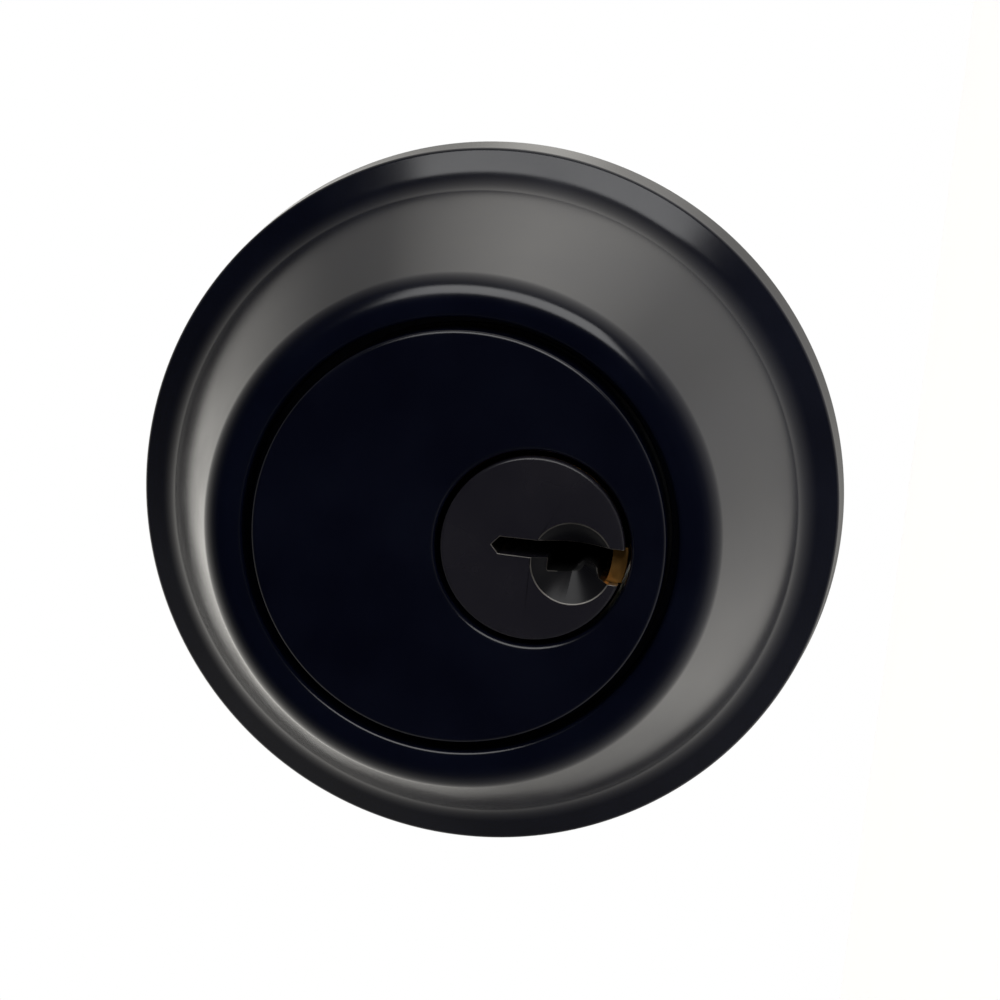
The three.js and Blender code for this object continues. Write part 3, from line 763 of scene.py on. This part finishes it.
def key_plug():
    """Black on its face, with painted shade in near black on its keyway's walls and pin chambers, worn along
    its edges, and bare brass behind its head.
    """
    outline = rounded(
        [
            (0, PLUG_FACE, 0),
            (PLUG_HEAD_RADIUS, PLUG_FACE, 0.3),
            (PLUG_HEAD_RADIUS, HEAD_BACK, 0.1),
            (PLUG_RADIUS, HEAD_BACK, 0),
            (PLUG_RADIUS, CLIP_FRONT - 0.15, 0),
            (CLIP_GROOVE_RADIUS, CLIP_FRONT - 0.15, 0),
            (CLIP_GROOVE_RADIUS, CLIP_BACK + 0.15, 0),
            (PLUG_RADIUS, CLIP_BACK + 0.15, 0),
            (PLUG_RADIUS, PLUG_SHOULDER, 0.15),
            (BOSS_RADIUS, PLUG_SHOULDER, 0),
            (BOSS_RADIUS, BOSS_BACK, 0.3),
            (0, BOSS_BACK, 0),
        ]
    )
    plug = turned("plug", outline, z=PLUG_Z)
    guide = [
        (0, PLUG_FACE - 0.2),
        (3.53, PLUG_FACE - 0.2),
        (3.33, PLUG_FACE),
        (0.9, PLUG_FACE + GUIDE_DEPTH),
        (0, PLUG_FACE + GUIDE_DEPTH),
    ]
    cut(
        plug,
        turned("guide", guide, 192, -0.8, PLUG_Z - 3.32),
        prism("keyway", keyway(), PLUG_FACE - 1, KEYWAY_END, PLUG_Z),
        prism("swing", swing_sectors(), PLUG_SHOULDER + 0.4, BOSS_BACK + 1, PLUG_Z),
        *(upright(CHAMBER_RADIUS, PLUG_Z + CHAMBER_FLOOR, PLUG_Z + 8, 0, depth) for depth in PIN_DEPTHS),
    )
    finished(plug, PLUG_BLACK, WORN_EDGE, BRASS, KEYWAY_PAINTED_SHADE, GUIDE_BLACK)
    worn, bare, hollow, guide_cone = range(1, 5)
    bevelled(plug, 0.06, 2, worn, clamp=False)

    def inner(x, z):
        return math.hypot(x, z - PLUG_Z) < PLUG_RADIUS - 0.1

    def on_cone(y, n):
        return PLUG_FACE + 0.1 < y < PLUG_FACE + GUIDE_DEPTH - 0.1 and -0.9 < n.y < -0.7

    paint(plug, bare, lambda x, y, z, n: y > HEAD_BACK - 0.01 and not inner(x, z))
    paint(plug, bare, lambda x, y, z, n: y > KEYWAY_END + 1)
    paint(plug, guide_cone, lambda x, y, z, n: on_cone(y, n))
    # Painted shade: the keyway's walls and the pin chambers inside the plug are painted near black
    paint(plug, hollow, lambda x, y, z, n: 1.2 < y < KEYWAY_END + 1 and inner(x, z))
    return plug


def cylinder_shell():
    """A bored barrel with a tower for the pin stacks."""
    bore = PLUG_RADIUS + BORE_CLEARANCE
    barrel = turned(
        "shell",
        rounded(
            [
                (0, SHELL_FRONT, 0),
                (SHELL_RADIUS, SHELL_FRONT, 0.05),
                (SHELL_RADIUS, SHELL_BACK, 0.2),
                (0, SHELL_BACK, 0),
            ]
        ),
        z=PLUG_Z,
    )
    tower = [
        (-TOWER_HALF_WIDTH, PLUG_Z),
        (TOWER_HALF_WIDTH, PLUG_Z),
        (TOWER_HALF_WIDTH, TOWER_TOP),
        (-TOWER_HALF_WIDTH, TOWER_TOP),
    ]
    join(barrel, prism("tower", tower, DISC_WEB + GAP, HOUSING_BACK - GAP))
    cut(
        barrel,
        rod(bore, SHELL_FRONT - 1, SHELL_BACK + 1, 0, PLUG_Z, 192),
        block((-2.6, COVER_FRONT - GAP, COVER_LOW - 0.1), (2.6, COVER_BACK + GAP, TOWER_TOP + 1)),
        *(upright(CHAMBER_RADIUS, PLUG_Z + TOWER_FOOT, TOWER_TOP + 1, 0, depth) for depth in PIN_DEPTHS),
    )
    return finished(bevelled(barrel, 0.06), SHELL_BRASS_AND_NOSE_SHADE)


def chamber_cover():
    """A brass strip over the pin chambers, staked at each of them."""
    strip = block((-2.3, COVER_FRONT, COVER_LOW), (2.3, COVER_BACK, TOWER_TOP))
    stake = [(0, TOWER_TOP - 0.25), (0.35, TOWER_TOP - 0.12), (0.6, TOWER_TOP + 0.1), (0, TOWER_TOP + 0.1)]
    cut(strip, *(stood("stake", stake, side * 1.3, depth) for depth in PIN_DEPTHS for side in (-1, 1)))
    return finished(bevelled(strip, 0.12, 3), BRASS)


def guard_ring():
    """A hardened ring behind the collar's wall."""
    outline = rounded(
        [
            (BARREL_RADIUS + 0.5, RING_FRONT, 0.15),
            (RING_RADIUS, RING_FRONT, 0.5),
            (RING_RADIUS, RING_BACK, 0.25),
            (BARREL_RADIUS + 0.5, RING_BACK, 0.15),
        ]
    )
    return finished(turned("ring", outline), HARD_STEEL)


def wave_spring():
    """A flat ring pressed into three waves."""
    middle = (DISC_BACK + RECESS_FLOOR) / 2
    inner, outer, half, round_edge = 15.5, 17.2, 0.125, 0.05
    waves, rise = 3, 0.13
    corners = ((inner, -half), (outer, -half), (outer, half), (inner, half))
    outline = rounded([(*corner, round_edge) for corner in corners], 3)

    def place(a, b, along):
        """A point of the flat ring, lifted along Y by its wave."""
        return (a, middle + along + rise * math.sin(waves * math.atan2(a, b)), b)

    return finished(lathe("wave", outline, ROUND_SIDES, place), HARD_STEEL)


def collar_snap_ring():
    """A ring that snaps into the barrel's groove behind the guard ring."""
    return finished(bevelled(open_ring("snap", 14.3, 17.6, 24, SNAP_FRONT, SNAP_BACK), 0.12, 3), SPRING_STEEL)


def plug_clip():
    """A clip in the plug's groove behind the shell."""
    clip = open_ring("clip", 5.65, 7.9, 70, CLIP_FRONT, CLIP_BACK, PLUG_Z)
    return finished(bevelled(clip, 0.08, 3), SPRING_STEEL)


def drill_pin(side):
    """A plain hardened pin that stands beside the plug."""
    low, high = ends("drill_pin_right", "z")
    radius = 1.2
    outline = rounded([(0, low, 0), (radius, low, 0.2), (radius, high, 0.2), (0, high, 0)])
    return finished(stood("drill", outline, side * DRILL_X, DRILL_DEPTH), HARD_STEEL)


def threaded(radius, root, start, end, pitch):
    """The outline of a screw's shank, as rings of thread: from start to end along it."""
    points = []
    turns = int((end - start) / pitch)
    for i in range(turns):
        at = start + i * pitch
        points += [(root, at), (radius, at + 0.4 * pitch), (radius, at + 0.6 * pitch)]
    return [*points, (root, start + turns * pitch)]


def mounting_post(side):
    """A round post with a screwed shank in front and a tapped hole behind."""
    shank_front = EAR_BACK - 4.6
    front = EAR_BACK + 0.15
    outline = [
        (0, shank_front),
        (1.9, shank_front),
        *threaded(2.5, 2.1, shank_front + 0.3, front - 0.3, 0.6),
        *rounded(
            [(2.1, front, 0), (POST_RADIUS, front, 0.25), (POST_RADIUS, POST_BACK, 0.4), (2.4, POST_BACK, 0)]
        ),
        *reversed(threaded(2.1, 1.8, EAR_BACK + 1.2, POST_BACK - 0.3, 0.7)),
        (1.8, EAR_BACK + 1),
        (0, EAR_BACK + 0.2),
    ]
    return finished(turned("post", outline, SMALL_SIDES, side * POST_X), ZINC)


def retainer_plate():
    """A round plate that holds the shell in the housing, with two screw holes."""
    front, back = ends("retainer_plate", "y")
    plate = rod(13.9, front, back, sides=ROUND_SIDES)
    cut(plate, rod(SHELL_RADIUS + GAP, front - 1, back + 1, 0, PLUG_Z, 192))
    cut(plate, *(rod(1.65, front - 1, back + 1, side * SCREW_X, SCREW_Z) for side in (-1, 1)))
    return finished(bevelled(plate, 0.18, 3), ZINC)


def retainer_screw(side):
    """A pan-head screw with a cross recess."""
    tip, head_back = ends("retainer_screw_right", "y")
    head_front = head_back - 1.7
    outline = [
        (0, tip),
        (1.0, tip),
        *threaded(1.45, 1.15, tip + 0.2, head_front - 0.4, 0.5),
        (1.45, head_front),
        *rounded(
            [
                (2.7, head_front, 0.1),
                (2.7, head_front + 0.8, 0.3),
                (1.95, head_back - 0.2, 0.8),
                (0, head_back, 0),
            ]
        ),
    ]
    screw = turned("screw", outline, SMALL_SIDES, side * SCREW_X, SCREW_Z)
    x, low, high = side * SCREW_X, head_back - 1, head_back + 1
    arm, half = 1.5, 0.33
    cut(
        screw,
        block((x - arm, low, SCREW_Z - half), (x + arm, high, SCREW_Z + half)),
        block((x - half, low, SCREW_Z - arm), (x + half, high, SCREW_Z + arm)),
    )
    return finished(bevelled(screw, 0.05), ZINC)


def tailpiece_cap():
    """A brass cap screwed over the plug's boss, with a chamfered and grooved outside."""
    front, back = ends("tailpiece_cap", "y")
    radius, groove, hole = 6.3, 6.1, 3.8
    outline = rounded(
        [
            (BOSS_RADIUS + 0.15, front, 0.1),
            (radius, front, 0.25),
            (radius, front + 2.2, 0.05),
            (groove, front + 2.35, 0.05),
            (groove, front + 2.65, 0.05),
            (radius, front + 2.8, 0.05),
            (radius, back, 0.35),
            (hole, back, 0.2),
            (hole, BOSS_BACK + 0.25, 0.1),
            (BOSS_RADIUS + 0.15, BOSS_BACK + 0.25, 0.1),
        ]
    )
    return finished(turned("cap", outline, z=PLUG_Z), BRASS)


def tailpiece():
    """A flat bar with a wide head, score lines to snap it to length, and a tapered end."""
    front, end = ends("tailpiece", "y")
    head_back = BOSS_BACK - 0.1
    half, head_half, tip_half, taper = 3.2, 4.5, 2, 2.5
    corners = [
        (half, end - taper, 0.6),
        (tip_half, end, 0.3),
        (-tip_half, end, 0.3),
        (-half, end - taper, 0.6),
        (-half, head_back, 0.3),
        (-head_half, head_back, 0.2),
        (-head_half, front, 0.3),
        (head_half, front, 0.3),
        (head_half, head_back, 0.2),
        (half, head_back, 0.3),
    ]
    outline = [(depth, z + PLUG_Z) for z, depth in rounded(corners)]
    bar = extruded("bar", outline, -1, 1, lambda a, b, along: (along, a, b))
    first_score, score_pitch, score_count = 7, 6, 4
    scores = []
    for number in range(score_count):
        depth = end - first_score - score_pitch * number
        for side in (-1, 1):
            v = [(side * 1.1, depth - 0.35), (side * 1.1, depth + 0.35), (side * 0.75, depth)]
            scores.append(extruded("score", v, PLUG_Z - 4, PLUG_Z + 4, lambda a, b, along: (a, b, along)))
    cut(bar, *scores)
    return finished(bevelled(bar, 0.12, 3), ZINC)


def key_pin(number):
    """A brass pin with a blunt point below and a crowned top."""
    low, high = ends("key_pin_%d" % number, "z")
    outline = rounded(
        [
            (0, low, 0),
            (0.4, low, 0.15),
            (PIN_RADIUS, low + 0.9, 0.2),
            (PIN_RADIUS, high - 0.2, 0.15),
            (PIN_RADIUS - 0.35, high, 0.1),
            (0, high, 0),
        ]
    )
    return finished(stood("pin", outline, 0, PIN_DEPTHS[number - 1]), PIN_BRASS)


def driver_pin(number):
    """A nickel-plated pin, waisted like a spool on two of the five."""
    low, high = ends("driver_pin_%d" % number, "z")
    waist = 0.95
    spool = [
        (PIN_RADIUS, low + 1, 0.08),
        (waist, low + 1.3, 0.1),
        (waist, high - 1.3, 0.1),
        (PIN_RADIUS, high - 1, 0.08),
    ]
    corners = [
        (0, low, 0),
        (PIN_RADIUS, low, 0.2),
        *(spool if number in SPOOL_PINS else []),
        (PIN_RADIUS, high, 0.2),
        (0, high, 0),
    ]
    return finished(stood("pin", rounded(corners), 0, PIN_DEPTHS[number - 1]), PIN_NICKEL)


def pin_spring(number):
    """A coil between a driver pin and the chamber's cover."""
    low, high = ends("pin_spring_%d" % number, "z")
    radius, wire, turns = 1.05, 0.2, 6
    piece = coil("spring", radius, wire, turns, low + wire, high - wire, 0, PIN_DEPTHS[number - 1])
    return finished(piece, SPRING_STEEL)


PIECES = [
    (guard_collar(), "guard_collar_shell", "guard_collar"),
    (cylinder_housing(), "housing_casting", "cylinder_housing"),
    (key_plug(), "plug_body", "key_plug"),
    (cylinder_shell(), "shell_body", "cylinder_shell"),
    (chamber_cover(), "cover_strip", "chamber_cover"),
    (guard_ring(), "hardened_ring", "guard_ring"),
    (wave_spring(), "wave_washer", "collar_wave_spring"),
    (collar_snap_ring(), "snap_ring", "collar_snap_ring"),
    (plug_clip(), "retaining_clip", "plug_clip"),
    (retainer_plate(), "back_plate", "retainer_plate"),
    (tailpiece_cap(), "screwed_cap", "tailpiece_cap"),
    (tailpiece(), "tail_bar", "tailpiece"),
]
for side, sign in (("left", -1), ("right", 1)):
    PIECES += [
        (drill_pin(sign), "hard_pin_" + side, "drill_pin_" + side),
        (retainer_screw(sign), "pan_screw_" + side, "retainer_screw_" + side),
        (mounting_post(sign), "screw_post_" + side, "mounting_post_" + side),
    ]
for number in PIN_NUMBERS:
    PIECES += [
        (key_pin(number), "lower_pin_%d" % number, "key_pin_%d" % number),
        (driver_pin(number), "upper_pin_%d" % number, "driver_pin_%d" % number),
        (pin_spring(number), "coil_%d" % number, "pin_spring_%d" % number),
    ]
for piece, name, node in PIECES:
    settled(piece, name, node)

# Each spring gets a mesh of its own
for number in PIN_NUMBERS:
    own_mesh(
        bpy.data.objects["coil_%d" % number],
        "driver_pin_%d_lift" % number,
        axis=(0, 0, 1),
        anchor=(0, 0, ends("pin_spring_%d" % number, "z")[1] * MM),
        keep=SPRING_KEEP,
    )


# ------------------------------------------------------- camera and studio


def back_of(azimuth, elevation):
    """Unit vector from the object to a camera; azimuth 0 looks along +Y."""
    a, e = math.radians(azimuth), math.radians(elevation)
    return Vector((math.sin(a) * math.cos(e), -math.cos(a) * math.cos(e), math.sin(e)))


def place_camera():
    """The camera, turned about its own line of sight as the photograph is."""
    data = bpy.data.cameras.new("camera")
    data.lens = LENS
    data.sensor_width = 36
    data.clip_start = 0.01
    camera = bpy.data.objects.new("camera", data)
    bpy.context.scene.collection.objects.link(camera)
    back = back_of(CAMERA_AZIMUTH, CAMERA_ELEVATION)
    upright_turn = (-back).to_track_quat("-Z", "Y").to_matrix()
    turn = upright_turn @ Matrix.Rotation(math.radians(CAMERA_ROLL), 3, "Z")
    camera.matrix_world = Matrix.Translation(Vector(AIM) + back * CAMERA_DISTANCE) @ turn.to_4x4()
    bpy.context.scene.camera = camera


def place_floor():
    """A pale floor below the lock, which hangs as on a door."""
    height = cad_box[0].z - 0.05
    half = 1.2
    mesh = bpy.data.meshes.new("floor")
    corners = [(-half, -half, height), (half, -half, height), (half, half, height), (-half, half, height)]
    mesh.from_pydata(corners, [], [(0, 1, 2, 3)])
    floor = bpy.data.objects.new("floor", mesh)
    bpy.context.scene.collection.objects.link(floor)
    n = Nodes("pale_floor")
    n.link(n.colours(n.noise(60, 2.0), (0.3, (0.93, 0.93, 0.93)), (0.7, (0.96, 0.96, 0.96))), "Base Color")
    n.set(Roughness=0.9, Emission_Color=(1, 1, 1, 1), Emission_Strength=0.6)
    mesh.materials.append(n.material)
    floor.visible_glossy = False


def area_light(name, azimuth, elevation, distance, size, power):
    """A soft light that looks at the lock from that direction."""
    data = bpy.data.lights.new(name, "AREA")
    data.shape = "RECTANGLE"
    data.size, data.size_y = size
    data.energy = power
    light = bpy.data.objects.new(name, data)
    bpy.context.scene.collection.objects.link(light)
    back = back_of(azimuth, elevation)
    turn = (-back).to_track_quat("-Z", "Y").to_matrix().to_4x4()
    light.matrix_world = Matrix.Translation(back * distance) @ turn


def light_world():
    """A pale room behind the lock, dark on the side that the keyed face looks to, and brighter towards +X."""
    world = bpy.data.worlds.new("studio")
    world.use_nodes = True
    bpy.context.scene.world = world
    tree = world.node_tree
    background = tree.nodes["Background"]
    output = tree.nodes["World Output"]

    def maths(operation, *values):
        return calculated(tree, operation, *values)

    def levels(value, stops):
        """The brightness that (value, brightness) stops give, for a value from -1 to 1."""
        shades = [(where / 2 + 0.5, (level, level, level)) for where, level in stops]
        return ramp(tree, maths("MULTIPLY_ADD", value, 0.5, 0.5), shades)

    direction = tree.nodes.new("ShaderNodeTexCoord").outputs["Generated"]
    split = tree.nodes.new("ShaderNodeSeparateXYZ")
    tree.links.new(direction, split.inputs[0])
    x, y, z = split.outputs
    across = maths("SQRT", maths("ADD", maths("MULTIPLY", x, x), maths("MULTIPLY", z, z)))
    sideways = maths("DIVIDE", x, across)
    upwards = maths("MAXIMUM", maths("DIVIDE", z, across), 0)
    corner = maths("MULTIPLY", sideways, upwards)
    side = maths("MULTIPLY_ADD", corner, -CORNER_SHADE, levels(sideways, SIDE_LEVELS))
    behind = levels(maths("MULTIPLY_ADD", upwards, -UPPER_DROP, y), BACK_LEVELS)
    glow = maths("MULTIPLY_ADD", maths("MAXIMUM", side, LEAST_SIDE), behind, FRONT_GLOW)
    tree.links.new(glow, background.inputs["Strength"])
    background.inputs["Color"].default_value = ROOM_TINT
    white = tree.nodes.new("ShaderNodeBackground")
    white.inputs["Color"].default_value = (1, 1, 1, 1)
    white.inputs["Strength"].default_value = 1.0
    seen = tree.nodes.new("ShaderNodeLightPath").outputs["Is Camera Ray"]
    mix = tree.nodes.new("ShaderNodeMixShader")
    for source, target in zip((seen, background.outputs[0], white.outputs[0]), mix.inputs):
        tree.links.new(source, target)
    tree.links.new(mix.outputs[0], output.inputs["Surface"])


place_camera()
place_floor()
light_world()
area_light("key_light", azimuth=44, elevation=0, distance=0.9, size=(0.46, 0.82), power=4.2)
bpy.context.scene.view_settings.view_transform = "Standard"
